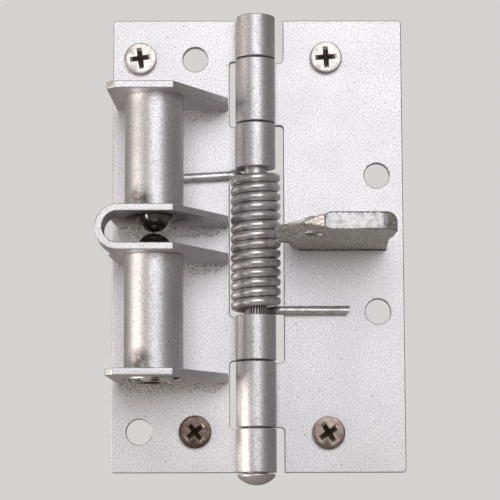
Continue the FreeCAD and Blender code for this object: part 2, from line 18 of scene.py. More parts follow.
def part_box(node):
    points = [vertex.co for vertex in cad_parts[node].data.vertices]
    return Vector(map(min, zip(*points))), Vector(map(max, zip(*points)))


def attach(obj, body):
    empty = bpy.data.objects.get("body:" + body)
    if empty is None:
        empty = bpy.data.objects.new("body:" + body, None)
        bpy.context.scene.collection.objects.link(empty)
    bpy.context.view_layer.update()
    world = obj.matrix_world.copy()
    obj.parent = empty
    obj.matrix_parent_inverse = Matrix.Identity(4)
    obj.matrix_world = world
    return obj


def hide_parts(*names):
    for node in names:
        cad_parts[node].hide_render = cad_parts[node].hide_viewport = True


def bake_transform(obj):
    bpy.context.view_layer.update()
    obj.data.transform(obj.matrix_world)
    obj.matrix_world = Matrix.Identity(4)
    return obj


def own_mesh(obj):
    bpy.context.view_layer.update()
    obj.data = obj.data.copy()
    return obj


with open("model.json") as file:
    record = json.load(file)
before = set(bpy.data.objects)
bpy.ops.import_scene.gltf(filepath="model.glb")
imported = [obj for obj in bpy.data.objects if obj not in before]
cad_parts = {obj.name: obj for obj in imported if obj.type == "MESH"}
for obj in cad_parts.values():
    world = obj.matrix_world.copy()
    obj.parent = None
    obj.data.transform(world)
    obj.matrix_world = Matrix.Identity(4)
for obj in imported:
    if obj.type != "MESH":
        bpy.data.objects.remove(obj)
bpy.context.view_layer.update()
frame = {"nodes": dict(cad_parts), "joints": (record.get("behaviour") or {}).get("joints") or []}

bl_info = {
    "name": "Spring Loaded Door Hinge",
    "version": (1, 0, 0),
    "blender": (4, 5, 0),
    "location": "View3D > Sidebar > Hinge",
    "description": "Dresses a sprung hold-open hinge with paint, springs, screws and welds",
    "category": "Object",
}

MM = 0.001
SPECK = 0.001 * MM  # points closer than this are one
PIN = Vector(next(joint["pos_m"] for joint in frame["joints"] if joint["name"] == "leaf_fold"))
HEAD_RISE = 1.8 * MM  # height of the frame's screw heads
LEAF_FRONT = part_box("frame_screw_top")[0].y + HEAD_RISE  # the plane that they lie on
POINT = 6 * MM  # length of a screw's tapered end
SMOOTH = {"interpolation_type": "SMOOTHSTEP"}  # of a Map Range node


def linear(hex_colour):
    """The linear red, green and blue of an sRGB hex colour."""
    channels = [int(hex_colour[place:place + 2], 16) / 255 for place in (1, 3, 5)]
    return tuple(c / 12.92 if c <= 0.04045 else ((c + 0.055) / 1.055) ** 2.4 for c in channels)


def length(name, description, value):
    """A size that a user gives in millimetres."""
    return FloatProperty(name=name, description=description, default=value * MM, unit="LENGTH", precision=5)


def tint(name, description, hex_colour):
    """A colour that a user picks."""
    return FloatVectorProperty(
        name=name, description=description, subtype="COLOR", size=3, min=0, max=1,
        default=linear(hex_colour),
    )


class HingeSheetSizes(bpy.types.PropertyGroup):
    """Edges of the punched and rolled pieces, and their welds."""

    sheet_edge: length("Sheet edge", "Radius that tumbling leaves on the punched edges", 0.3)
    tube_edge: length("Tube edge", "Radius on the tubes' and the pin's edges", 0.25)
    bead: length("Weld bead", "Radius of the seams where the ears meet the leaf", 0.5)
    bead_step: length("Weld ripple", "Distance from one weld ripple to the next", 0.7)
    spatter: length("Spatter", "Radius of the largest drops beside the seams", 0.32)
    spatter_reach: length("Spatter reach", "Height of the band of drops below a seam", 2.8)
    spatter_count: FloatProperty(
        name="Spatter count", description="Drops to a square millimetre", default=3.4, min=0
    )


class HingeSpringSizes(bpy.types.PropertyGroup):
    """The torsion spring."""

    wire: length("Wire", "Wire's diameter", 2.5)
    radius: length("Coil radius", "Coil's axis to the wire's centre", 5.7)
    pitch: length("Pitch", "Rise of one turn", 2.64)
    turns: IntProperty(name="Turns", description="Whole turns between the legs", default=14, min=1)
    bend: length("Leg bend", "Radius of the bend between coil and leg", 2.5)
    reach: length("Leg reach", "Coil's axis to a leg's tip", 26)
    clearance: length("Leg clearance", "Gap between a leg and the leaf that it pushes", 0.15)
    drop: length("Leg drop", "How far the upper leg's tip was bent down", 1.1)
    shear: length("Cut", "How far the sheared tips lean back at their lower edge", 0.8)


class HingeCatchSizes(bpy.types.PropertyGroup):
    """The compression springs behind the balls."""

    wire: length("Wire", "Wire's diameter", 1.3)
    turns: IntProperty(name="Open turns", description="Turns between the closed ones", default=5, min=1)
    bore: length("Bore clearance", "Ball to the tube's bore", 0.35)
    gap: length("Gap", "Wire to the bore, the ball and the plug", 0.05)
    travel: length("Travel", "How far a ball moves at its joint's limit", 2.8)


class HingeTongueSizes(bpy.types.PropertyGroup):
    """Surface of the striker tongue."""

    edge: length("Worn edge", "Radius left on the edges by forging and grinding", 0.45)
    grain: length("Grain", "Longest edge in the mesh of the worked surface", 0.7)
    hollow: length("Forge marks", "Depth of the broad hollows", 0.18)
    pits: length("Pits", "Depth of the small pits", 0.08)


class HingeScrewSizes(bpy.types.PropertyGroup):
    """Countersunk screw with a cross recess."""

    head: length("Head radius", "Radius of the flat head", 4.5)
    rise: length("Head height", "Flat of the head above the leaf", 1.8)
    edge: length("Head edge", "Width of the head's worn edge", 0.4)
    rim: length("Rim", "Height of the head's worn edge and straight rim", 0.7)
    neck: length("Neck radius", "Radius where the head's cone meets the hole", 3.2)
    shank: length("Core radius", "Radius of the core under the thread", 1.65)
    length: length("Length", "Leaf's front face to the point", 25)
    pitch: length("Thread pitch", "Rise of one turn of the thread", 1.9)
    thread: length("Thread depth", "Reach of the thread past the core", 0.5)
    arm: length("Recess arm", "Reach of the cross recess", 3.1)
    slot: length("Recess width", "Width of an arm of the recess", 1.35)
    depth: length("Recess depth", "Depth of the recess at its middle", 2.2)


class HingeColours(bpy.types.PropertyGroup):
    """Finishes."""

    paint: tint("Silver paint", "Flake paint on the leaves, ears and tubes", "#e6e5e9")
    paint_dark: tint("Paint shade", "Darker flakes in the paint", "#c4c2c6")
    wire: tint("Spring wire", "Tempered wire under a thin coat", "#ebeaec")
    tongue: tint("Tongue", "Rubbed steel of the tongue", "#f6f5f3")
    tongue_dark: tint("Tongue scale", "Scale left in the tongue's pits", "#b3ada7")
    nickel: tint("Nickel", "Plating of the upper screws", "#e4dedc")
    bronzed: tint("Bronzed plating", "Plating of the frame leaf's lower screw", "#7c6b61")
    dulled: tint("Dulled plating", "Plating of the door leaf's lower screw", "#a1928a")
    ball: tint("Ball", "Hardened bearing steel", "#96918b")
    backdrop: tint("Backdrop", "Floor and backdrop", "#f0efed")


class HingeStage(bpy.types.PropertyGroup):
    """Camera and backdrop."""

    lens: FloatProperty(
        name="Lens", description="Focal length", default=145.4, subtype="DISTANCE_CAMERA"
    )
    camera: FloatVectorProperty(
        name="Camera", description="Place of the camera", subtype="TRANSLATION", size=3,
        default=(0.01895, -0.55884, -0.0771),
    )
    pitch: FloatProperty(
        name="Pitch", description="Camera's tilt upwards", default=math.radians(7.70), subtype="ANGLE"
    )
    yaw: FloatProperty(
        name="Yaw", description="Camera's turn to the right", default=math.radians(0.41), subtype="ANGLE"
    )
    roll: FloatProperty(
        name="Roll", description="Camera's roll", default=math.radians(-0.16), subtype="ANGLE"
    )
    floor: FloatProperty(name="Floor", description="Height of the floor", default=-0.75, unit="LENGTH")
    wall: FloatProperty(name="Wall", description="Radius of the backdrop", default=1.6, unit="LENGTH")


# node trees


def add(tree, kind, inputs=(), **settings):
    """Adds a node with its settings. Inputs are in their order or a dict by name or number. Each is a
    constant, a socket, or a node, which gives its first output in use. None leaves a socket as it is."""
    node = tree.nodes.new(kind)
    for name, value in settings.items():
        setattr(node, name, value)
    for key, value in inputs.items() if isinstance(inputs, dict) else enumerate(inputs):
        socket = node.inputs[key]
        if isinstance(value, bpy.types.Node):
            value = next(output for output in value.outputs if output.enabled)
        if isinstance(value, bpy.types.NodeSocket):
            tree.links.new(value, socket)
        elif value is not None:
            socket.default_value = (*value, 1) if socket.type == "RGBA" else value
    return node


def new_material(name):
    """An empty material and its tree, with the place that its patterns are read from."""
    material = bpy.data.materials.new(name)
    material.use_nodes = True
    tree = material.node_tree
    tree.nodes.clear()
    return material, tree, add(tree, "ShaderNodeTexCoord").outputs["Object"]


def surfaced(material, colour, roughness, metallic, normal):
    """Ends a material's tree with its surface."""
    tree = material.node_tree
    shader = add(tree, "ShaderNodeBsdfPrincipled", {
        "Base Color": colour, "Roughness": roughness, "Metallic": metallic, "Normal": normal,
    })
    add(tree, "ShaderNodeOutputMaterial", {"Surface": shader})
    return material


def blotches(tree, place, size, detail, low, high, least=0.0, most=1.0, roughness=0.5):
    """Cloudy patches of about this size, from least to most where the noise goes from low to high."""
    cloud = add(tree, "ShaderNodeTexNoise", {
        "Vector": place, "Scale": 1 / size, "Detail": detail, "Roughness": roughness,
    })
    return add(tree, "ShaderNodeMapRange", (cloud, low, high, least, most), **SMOOTH)


def relief(tree, place, size, detail, depth, strength=1.0, under=None):
    """A normal over grains of about this size and this depth, laid over another normal."""
    cloud = add(tree, "ShaderNodeTexNoise", {"Vector": place, "Scale": 1 / size, "Detail": detail})
    return add(tree, "ShaderNodeBump", {
        "Height": cloud, "Distance": depth, "Strength": strength, "Normal": under,
    })


def layered(tree, base, *layers):
    """Lays colours over a base one after another, each as far as its factor says."""
    for factor, colour in layers:
        base = add(tree, "ShaderNodeMix", {0: factor, 6: base, 7: colour}, data_type="RGBA")
    return base


# materials


def silver_paint(colours, kind="silver", painted_shading=None, tone=None):
    """Silver flake enamel, sprayed on degreased steel. The flakes make it sparkle in grains of about half
    a millimetre, and the spray leaves a fine orange peel and a nib here and there. The real flakes are finer
    and are drawn coarser to show. A darker tone may be painted over it where shade or a dark reflection
    falls."""
    material, tree, place = new_material(f"{kind}_flake_enamel")
    flakes = blotches(tree, place, 0.4 * MM, 2.0, 0.3, 0.62)
    clouds = blotches(tree, place, 14 * MM, 2.0, 0.35, 0.7, 0.0, 0.25)
    dust = add(tree, "ShaderNodeTexVoronoi", {"Vector": place, "Scale": 1 / (3.2 * MM)})
    nibs = add(tree, "ShaderNodeMapRange", (dust, 0.04, 0.1, 0.6, 0.0), **SMOOTH)
    base = layered(
        tree, colours.paint_dark,
        (flakes, colours.paint), (clouds, colours.paint_dark), (nibs, linear("#6d696b")),
    )
    if painted_shading:
        base = layered(tree, base, (painted_shading(tree, place), linear(tone)))
    rough = add(tree, "ShaderNodeMapRange", (flakes, 0.0, 1.0, 0.5, 0.42), **SMOOTH)
    normal = relief(tree, place, 0.45 * MM, 2.0, 0.02 * MM, 0.5)
    normal = relief(tree, place, 3 * MM, 1.0, 0.04 * MM, 0.4, normal)
    return surfaced(material, base, rough, 0.85, normal)


def grease(tree, place):
    """Where the balls' grease has crept over the fork's inner faces, with painted shade in the fork's gap, as
    a factor.
    """
    low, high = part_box("fork_bracket")
    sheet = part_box("top_ear")[1].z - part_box("top_ear")[0].z
    gap = (high.z - low.z) / 2 - sheet + 0.2 * MM  # half the fork's gap and a little of its sheet
    ball = centre("upper_ball")
    middle = (ball.x, ball.y, (low.z + high.z) / 2)
    off = add(tree, "ShaderNodeVectorMath", (place, middle), operation="SUBTRACT")
    axes = add(tree, "ShaderNodeSeparateXYZ", (off,)).outputs
    flat = add(tree, "ShaderNodeCombineXYZ", (axes["X"], axes["Y"]))
    away = add(tree, "ShaderNodeVectorMath", (flat,), operation="LENGTH")
    crept = add(tree, "ShaderNodeMapRange", (away, 6 * MM, 18 * MM, 1.0, 0.0), **SMOOTH)
    blots = blotches(tree, place, 3 * MM, 3.0, 0.3, 0.6, 0.55, 0.95)
    level = add(tree, "ShaderNodeMath", (axes["Z"],), operation="ABSOLUTE")
    inside = add(tree, "ShaderNodeMath", (level, gap), operation="LESS_THAN")
    # grease film and painted shade, strongest near the ball and fading outwards, only inside the gap
    film = add(tree, "ShaderNodeMath", (crept, blots), operation="MULTIPLY")
    return add(tree, "ShaderNodeMath", (film, inside), operation="MULTIPLY")


def ear_reflection(tree, place):
    """Where a dark reflection of the ear below is painted low on the front of each tube, as a factor."""
    marks = []
    for node, below in (("upper_tube", "fork_bracket"), ("lower_tube", "bottom_ear")):
        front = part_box(node)[0].y
        spot = (centre(node).x - 4.2 * MM, front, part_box(below)[1].z + 1.7 * MM)
        away = add(tree, "ShaderNodeVectorMath", (place, spot), operation="DISTANCE")
        marks.append(add(tree, "ShaderNodeMapRange", (away, 1.5 * MM, 5.5 * MM, 0.9, 0.0), **SMOOTH))
    blots = blotches(tree, place, 2.5 * MM, 3.0, 0.3, 0.6, 0.4, 1.0)
    both = add(tree, "ShaderNodeMath", marks, operation="MAXIMUM")
    return add(tree, "ShaderNodeMath", (both, blots), operation="MULTIPLY")


def weld_metal(colours):
    """Weld metal under the same enamel. It holds more shade and shines in small spots."""
    material, tree, place = new_material("enamelled_weld")
    spots = blotches(tree, place, 0.5 * MM, 3.0, 0.38, 0.58)
    base = layered(tree, linear("#a5a19f"), (spots, colours.paint))
    normal = relief(tree, place, 0.4 * MM, 3.0, 0.05 * MM)
    return surfaced(material, base, 0.4, 0.8, normal)


def spring_wire(colours):
    """Oil-tempered spring wire with a thin coat, darker in blotches where the coat gathered. The coat leaves
    a fine grain and dull and bright places."""
    material, tree, place = new_material("tempered_spring_wire")
    thin = blotches(tree, place, 2.2 * MM, 3.0, 0.35, 0.6)
    base = layered(tree, linear("#cbc9cb"), (thin, colours.wire))
    rough = blotches(tree, place, 0.7 * MM, 2.0, 0.3, 0.7, 0.32, 0.42)
    normal = relief(tree, place, 0.6 * MM, 3.0, 0.02 * MM, 0.4)
    return surfaced(material, base, rough, 0.85, normal)


def pin_steel(colours):
    """Turned mild steel under thin enamel, which shows the rings of turning. The shank below the spring is
    straight knurled to grip the knuckles, and darker between its crests."""
    crests, top, bottom = 26.0, -18 * MM, -60 * MM  # of the knurl
    material, tree, place = new_material("enamelled_pin_steel")
    turning = add(tree, "ShaderNodeMapping", {"Vector": place, "Scale": (1, 1, 9)})
    rings = blotches(tree, turning, 4 * MM, 2.0, 0.3, 0.7)
    off = add(tree, "ShaderNodeVectorMath", (place, tuple(PIN)), operation="SUBTRACT")
    axes = add(tree, "ShaderNodeSeparateXYZ", (off,)).outputs
    turn = add(tree, "ShaderNodeMath", (axes["Y"], axes["X"]), operation="ARCTAN2")
    turns = add(tree, "ShaderNodeMath", (turn, crests), operation="MULTIPLY")
    wave = add(tree, "ShaderNodeMath", (turns,), operation="SINE")
    crest = add(tree, "ShaderNodeMapRange", (wave, -0.4, 0.6), **SMOOTH)
    groove = add(tree, "ShaderNodeMath", (1.0, crest), operation="SUBTRACT")
    below = add(tree, "ShaderNodeMath", (axes["Z"], top), operation="LESS_THAN")
    above = add(tree, "ShaderNodeMath", (axes["Z"], bottom), operation="GREATER_THAN")
    knurled = add(tree, "ShaderNodeMath", (below, above), operation="MULTIPLY")
    darkening = add(tree, "ShaderNodeMath", (knurled, groove), operation="MULTIPLY")
    ridges = add(tree, "ShaderNodeMath", (knurled, crest), operation="MULTIPLY")
    base = layered(tree, linear("#d6d4d5"), (rings, colours.paint), (darkening, linear("#3d3936")))
    normal = add(tree, "ShaderNodeBump", {"Height": rings, "Distance": 0.03 * MM, "Strength": 0.5})
    normal = add(tree, "ShaderNodeBump", {
        "Height": ridges, "Distance": 0.2 * MM, "Strength": 1.0, "Normal": normal,
    })
    return surfaced(material, base, 0.4, 0.8, normal)


def bare_rim():
    """Steel rim of a tube, burnished where it was rolled over the plug. Oil stays on it in patches."""
    material, tree, place = new_material("rolled_bare_steel")
    film = blotches(tree, place, 2.4 * MM, 3.0, 0.42, 0.62)
    base = layered(tree, linear("#6a5f58"), (film, linear("#f1eeea")))
    normal = relief(tree, place, 0.5 * MM, 2.0, 0.03 * MM, 0.6)
    return surfaced(material, base, 0.28, 0.9, normal)


def tongue_steel(colours):
    """Forged steel with a coarse sparkling grain. Its front, marked by the mesh, keeps its silver enamel.
    High places are rubbed bright, brown scale stays in the pits, and shade is painted dark into the corner at
    the leaf."""
    material, tree, place = new_material("ground_forged_steel")
    pits = add(tree, "ShaderNodeTexNoise", {
        "Vector": place, "Scale": 1 / (1.6 * MM), "Detail": 4.0, "Roughness": 0.6,
    })
    rubbed = add(tree, "ShaderNodeMapRange", (pits, 0.3, 0.5), **SMOOTH)
    patches = blotches(tree, place, 8 * MM, 2.0, 0.4, 0.65, 0.0, 0.4)
    grit = blotches(tree, place, 0.55 * MM, 3.0, 0.45, 0.56, roughness=0.7)
    grit = add(tree, "ShaderNodeMath", (grit, 0.6), operation="MULTIPLY")
    front = add(tree, "ShaderNodeAttribute", attribute_name="front").outputs["Fac"]
    front = add(tree, "ShaderNodeMath", (front, 0.85), operation="MULTIPLY")
    whole = add(tree, "ShaderNodeMapRange", (pits, 0.25, 0.42), **SMOOTH)
    enamel = add(tree, "ShaderNodeMath", (front, whole), operation="MULTIPLY")
    depth = add(tree, "ShaderNodeSeparateXYZ", (place,)).outputs["Y"]
    # painted shade: near black in the corner where the tongue meets the leaf
    corner = add(
        tree, "ShaderNodeMapRange", (depth, LEAF_FRONT - 1.1 * MM, LEAF_FRONT - 0.4 * MM), **SMOOTH
    )
    base = layered(
        tree, colours.tongue_dark,
        (rubbed, colours.tongue), (patches, linear("#c3bfba")), (grit, linear("#6d6762")),
        (enamel, linear("#b9b7bb")), (corner, linear("#2f2b29")),
    )
    rough = add(tree, "ShaderNodeMapRange", (pits, 0.3, 0.6, 0.5, 0.34), **SMOOTH)
    normal = add(tree, "ShaderNodeBump", {"Height": pits, "Distance": 0.08 * MM, "Strength": 0.6})
    bare = add(tree, "ShaderNodeMath", (1.0, front), operation="SUBTRACT")
    normal = relief(tree, place, 0.6 * MM, 2.0, 0.25 * MM, bare, normal)
    return surfaced(material, base, rough, 0.8, normal)


def screw_plating(name, tone, shade, rub):
    """Plated steel screw. Its recess, marked by the mesh, is painted dark as shade, and its edges are painted
    bright, partly where the driver has rubbed the plating off and partly as a painted highlight."""
    material, tree, place = new_material(f"{name}_plated_steel")
    painted_shading = add(tree, "ShaderNodeAttribute", attribute_name="recess").outputs["Fac"]
    dark = add(tree, "ShaderNodeMapRange", (painted_shading, 0.2, 1.0, 0.0, 0.9), **SMOOTH)
    rubbed = add(tree, "ShaderNodeAttribute", attribute_name="rubbed").outputs["Fac"]
    rubbed = add(tree, "ShaderNodeMath", (rubbed, rub), operation="MULTIPLY")
    worn = blotches(tree, place, 1.3 * MM, 3.0, 0.35, 0.7)
    # painted shade: the recess goes dark brown; worn plating with a painted highlight: its edges go near
    # white
    base = layered(
        tree, linear(shade), (worn, tone), (rubbed, linear("#f4ece4")), (dark, linear("#3f3128"))
    )
    rough = add(tree, "ShaderNodeMapRange", (painted_shading, 0.0, 1.0, 0.34, 0.6), **SMOOTH)
    normal = relief(tree, place, 0.5 * MM, 2.0, 0.02 * MM, 0.5)
    normal = relief(tree, place, 3 * MM, 1.0, 0.1 * MM, 0.6, normal)
    return surfaced(material, base, rough, 0.8, normal)


def ball_steel(colours):
    """Hardened and polished bearing steel with a film of dull grease."""
    material, tree, place = new_material("bearing_steel")
    film = blotches(tree, place, 2.5 * MM, 3.0, 0.4, 0.7)
    base = layered(tree, colours.ball, (film, linear("#675e54")))
    rough = add(tree, "ShaderNodeMapRange", (film, 0.0, 1.0, 0.12, 0.35), **SMOOTH)
    normal = relief(tree, place, 0.8 * MM, 2.0, 0.01 * MM, 0.5)
    return surfaced(material, base, rough, 0.95, normal)


def plug_steel():
    """Blanked mild steel, left bare, dull brown with oil."""
    material, tree, place = new_material("oiled_plug_steel")
    film = blotches(tree, place, 1.5 * MM, 3.0, 0.35, 0.7)
    base = layered(tree, linear("#6d655e"), (film, linear("#b9b4ad")))
    normal = relief(tree, place, 0.6 * MM, 3.0, 0.05 * MM, 0.7)
    return surfaced(material, base, 0.42, 0.75, normal)


def backdrop_paper(colours):
    """Matt paper, pale to the camera and faintly so in the metal. It takes shadows and gives back little
    light."""
    in_metal, glow = 0.16, 0.85
    material, tree, place = new_material("matt_paper")
    fibre = blotches(tree, place, 60 * MM, 2.0, 0.3, 0.7, 0.0, 0.05)
    colour = layered(tree, colours.backdrop, (fibre, linear("#e6e0d8")))
    ray = add(tree, "ShaderNodeLightPath").outputs
    mirrored = add(
        tree, "ShaderNodeMath", (ray["Is Glossy Ray"], ray["Is Transmission Ray"]), operation="MAXIMUM"
    )
    mirrored = add(tree, "ShaderNodeMath", (mirrored, in_metal), operation="MULTIPLY")
    seen = add(tree, "ShaderNodeMath", (ray["Is Camera Ray"], mirrored), operation="MAXIMUM")
    dim = layered(tree, linear("#a39e99"), (seen, colour))
    matt = add(tree, "ShaderNodeBsdfDiffuse", {"Color": dim})
    bright = add(tree, "ShaderNodeEmission", {"Color": colour, "Strength": glow})
    share = add(tree, "ShaderNodeMath", (seen, glow), operation="MULTIPLY")
    surface = add(tree, "ShaderNodeMixShader", (share, matt, bright))
    add(tree, "ShaderNodeOutputMaterial", {"Surface": surface})
    return material


# pieces


def centre(node):
    """The middle of a frame node's box."""
    low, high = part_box(node)
    return (low + high) / 2


def placed(mesh, name):
    """A new object of a mesh, in the scene."""
    item = bpy.data.objects.new(name, mesh)
    bpy.context.scene.collection.objects.link(item)
    return item


def piece(mesh, name, material, body, slot, *nodes):
    """Places a finished mesh as a piece that rides on a body and stands for the frame's nodes."""
    item = placed(mesh, name)
    mesh.materials.clear()
    mesh.materials.append(material)
    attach(item, body)
    if nodes:
        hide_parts(*nodes)
    return item


def baked(item, name):
    """The plain mesh that an object's modifiers make. The object itself is removed."""
    graph = bpy.context.evaluated_depsgraph_get()
    mesh = bpy.data.meshes.new_from_object(
        item.evaluated_get(graph), preserve_all_data_layers=True, depsgraph=graph
    )
    mesh.name = name
    bpy.data.objects.remove(item)
    return mesh


def smooth_mesh(solid, name):
    """Turns a bmesh into a smoothly shaded mesh."""
    mesh = bpy.data.meshes.new(name)
    solid.to_mesh(mesh)
    solid.free()
    mesh.shade_smooth()
    return mesh


def merged(node):
    """A closed copy of a node's mesh, with its flat faces whole."""
    flat = math.radians(0.5)
    solid = bmesh.new()
    solid.from_mesh(frame["nodes"][node].data)
    bmesh.ops.remove_doubles(solid, verts=solid.verts, dist=SPECK)
    bmesh.ops.dissolve_limit(solid, angle_limit=flat, verts=solid.verts, edges=solid.edges)
    bmesh.ops.recalc_face_normals(solid, faces=solid.faces)
    return solid


def wear_edges(solid, sharper_than, width, segments, clamp):
    """Bevels the edges that are sharper than an angle in degrees."""
    least = math.radians(sharper_than)
    sharp = [edge for edge in solid.edges if edge.is_manifold and edge.calc_face_angle() > least]
    bmesh.ops.bevel(
        solid, geom=sharp, offset=width, offset_type="OFFSET", segments=segments, profile=0.5,
        affect="EDGES", clamp_overlap=clamp,
    )


def rounded(node, name, width):
    """A node's shape with its sharp edges rounded, shaded so that flats stay flat."""
    solid = merged(node)
    wear_edges(solid, sharper_than=40, width=width, segments=3, clamp=False)
    item = placed(smooth_mesh(solid, name), name)
    item.modifiers.new("Weighted normals", "WEIGHTED_NORMAL").weight = 80
    return baked(item, name)


def new_tree(name, makes, **inputs):
    """A geometry nodes tree with these inputs and a finish, and the sockets that they come in by."""
    tree = bpy.data.node_groups.new(name, "GeometryNodeTree")
    for label, kind in (*inputs.items(), ("Finish", "Material")):
        label = label.replace("_", " ")
        tree.interface.new_socket(label, in_out="INPUT", socket_type=f"NodeSocket{kind}")
    tree.interface.new_socket(makes, in_out="OUTPUT", socket_type="NodeSocketGeometry")
    return tree, add(tree, "NodeGroupInput").outputs


def end_tree(tree, source, result, smooth):
    """Ends a tree: its copies are made real, shaded smooth if asked, and given the finish."""
    result = add(tree, "GeometryNodeRealizeInstances", (result,))
    if smooth:
        result = add(tree, "GeometryNodeSetShadeSmooth", {"Geometry": result})
    result = add(tree, "GeometryNodeSetMaterial", {"Geometry": result, "Material": source["Finish"]})
    add(tree, "NodeGroupOutput", (result,))
    return tree


def scattered(tree, source, points, drop, low, high, turn=None):
    """Copies of a drop on points, each stretched at random between low and high."""
    size = add(
        tree, "FunctionNodeRandomValue", {"Min": low, "Max": high, "Seed": source["Seed"]},
        data_type="FLOAT_VECTOR",
    )
    return add(tree, "GeometryNodeInstanceOnPoints", {
        "Points": points, "Instance": drop, "Rotation": turn, "Scale": size,
    })


def wire_tree():
    """Geometry nodes: a round wire along the edges of a path."""
    tree, source = new_tree(
        "Wire along path", "Wire", Path="Geometry", Wire_Radius="Float", Sides="Int"
    )
    path = add(tree, "GeometryNodeMeshToCurve", {"Mesh": source["Path"]})
    section = add(tree, "GeometryNodeCurvePrimitiveCircle", {
        "Resolution": source["Sides"], "Radius": source["Wire Radius"],
    })
    wire = add(tree, "GeometryNodeCurveToMesh", {
        "Curve": path, "Profile Curve": section, "Fill Caps": True,
    })
    return end_tree(tree, source, wire, smooth=True)


def ripple_tree():
    """Geometry nodes: weld ripples, one lump on each point of a path, of random size and turn."""
    tree, source = new_tree(
        "Weld ripples", "Welds", Path="Geometry", Bead_Radius="Float", Step="Float", Seed="Int"
    )
    path = add(tree, "GeometryNodeMeshToCurve", {"Mesh": source["Path"]})
    points = add(
        tree, "GeometryNodeResampleCurve", {"Curve": path, "Length": source["Step"]}, mode="LENGTH"
    )
    lump = add(tree, "GeometryNodeMeshIcoSphere", {"Radius": source["Bead Radius"], "Subdivisions": 3})
    turn = add(
        tree, "FunctionNodeRandomValue", {"Max": (0.9, 0.9, 0.9), "Seed": source["Seed"]},
        data_type="FLOAT_VECTOR",
    )
    lumps = scattered(tree, source, points, lump, (0.8, 0.45, 0.7), (1.5, 0.8, 1.3), turn)
    return end_tree(tree, source, lumps, smooth=False)


def spatter_tree():
    """Geometry nodes: squashed drops of random size strewn over a band."""
    tree, source = new_tree(
        "Weld spatter", "Drops", Band="Geometry", Drop_Radius="Float", Density="Float", Seed="Int"
    )
    points = add(tree, "GeometryNodeDistributePointsOnFaces", {
        "Mesh": source["Band"], "Density": source["Density"], "Seed": source["Seed"],
    })
    drop = add(tree, "GeometryNodeMeshIcoSphere", {"Radius": source["Drop Radius"], "Subdivisions": 2})
    drops = scattered(tree, source, points, drop, (0.5, 0.15, 0.4), (1.3, 0.45, 1.1))
    return end_tree(tree, source, drops, smooth=True)


def screw_tree():
    """Geometry nodes: a screw set on each point, with the thread wound round its core."""
    tree, source = new_tree(
        "Screws on points", "Screws", Seats="Geometry", Screw="Object", Thread="Object", Turn="Float"
    )
    joined = add(tree, "GeometryNodeJoinGeometry")
    for name in ("Screw", "Thread"):
        part = add(tree, "GeometryNodeObjectInfo", {"Object": source[name]})
        tree.links.new(part.outputs["Geometry"], joined.inputs[0])
    # the screw's own Z points out of the leaf, towards -Y
    turn = add(tree, "ShaderNodeCombineXYZ", {"X": math.pi / 2, "Y": source["Turn"]})
    screws = add(tree, "GeometryNodeInstanceOnPoints", {
        "Points": source["Seats"], "Instance": joined, "Rotation": turn,
    })
    return end_tree(tree, source, screws, smooth=False)


def with_tree(mesh, name, tree, **values):
    """The plain mesh that a geometry nodes tree makes of a mesh. Its inputs are set by their names."""
    item = placed(mesh, name)
    modifier = item.modifiers.new(tree.name, "NODES")
    modifier.node_group = tree
    sockets = {
        socket.name: socket.identifier for socket in tree.interface.items_tree if socket.in_out == "INPUT"
    }
    for key, value in values.items():
        modifier[sockets[key.replace("_", " ")]] = value
    return baked(item, name)


def path_mesh(name, runs):
    """A mesh of edges through each run of points."""
    points = [point for run in runs for point in run]
    edges = []
    start = 0
    for run in runs:
        edges += [(start + index, start + index + 1) for index in range(len(run) - 1)]
        start += len(run)
    mesh = bpy.data.meshes.new(name)
    mesh.from_pydata(points, edges, [])
    return mesh


def on_circle(radius, angle, level):
    """A point about Z."""
    return Vector((radius * math.cos(angle), radius * math.sin(angle), level))


def torsion_path(sizes):
    """The wire's centre line: the lower leg, on the door leaf, the coil, and the upper leg."""
    bend_steps, turn_steps = 10, 40
    leg_y = LEAF_FRONT - PIN.y - sizes.wire / 2 - sizes.clearance
    out = sizes.radius + sizes.bend
    leave = math.asin((leg_y + sizes.bend) / out)  # the angle at which a leg leaves the coil
    turns = sizes.turns + 0.5 - leave / math.pi
    half = sizes.pitch * turns / 2
    bend = []
    for index in range(bend_steps + 1):
        angle = leave + (math.pi / 2 - leave) * index / bend_steps
        x = out * math.cos(leave) - sizes.bend * math.cos(angle)
        y = out * math.sin(leave) - sizes.bend * math.sin(angle)
        bend.append((x, y))
    lower = [Vector((sizes.reach, leg_y, -half))] + [Vector((x, y, -half)) for x, y in reversed(bend)]
    upper = [Vector((-x, y, half)) for x, y in bend] + [Vector((-sizes.reach, leg_y, half - sizes.drop))]
    steps = round(turns * turn_steps)
    coil = []
    for index in range(1, steps):
        made = turns * index / steps
        coil.append(on_circle(sizes.radius, leave + 2 * math.pi * made, sizes.pitch * made - half))
    return [point + PIN for point in lower + coil + upper]


def catch_path(sizes, radius, low, high):
    """The line of a compression spring along Z, with a closed turn at each end and open turns between."""
    turn_steps = 24
    turns, closed = sizes.turns + 2, 1.02 * sizes.wire
    pitch = (high - low - 2 * closed) / sizes.turns
    points = []
    for index in range(turns * turn_steps + 1):
        made = index / turn_steps
        ends, between = min(made, 1) + max(made - turns + 1, 0), min(max(made - 1, 0), sizes.turns)
        points.append(on_circle(radius, 2 * math.pi * made, low + closed * ends + pitch * between))
    return points


def thread_path(sizes):
    """The thread's line, drawn in towards the point."""
    turn_steps = 24
    start, end = -4 * MM, 0.8 * MM - sizes.length
    steps = round((start - end) / sizes.pitch * turn_steps)
    points = []
    for index in range(steps + 1):
        level = start + (end - start) * index / steps
        radius = sizes.shank * min(1, (level + sizes.length) / POINT)
        points.append(on_circle(radius, -2 * math.pi * (start - level) / sizes.pitch, level))
    return points


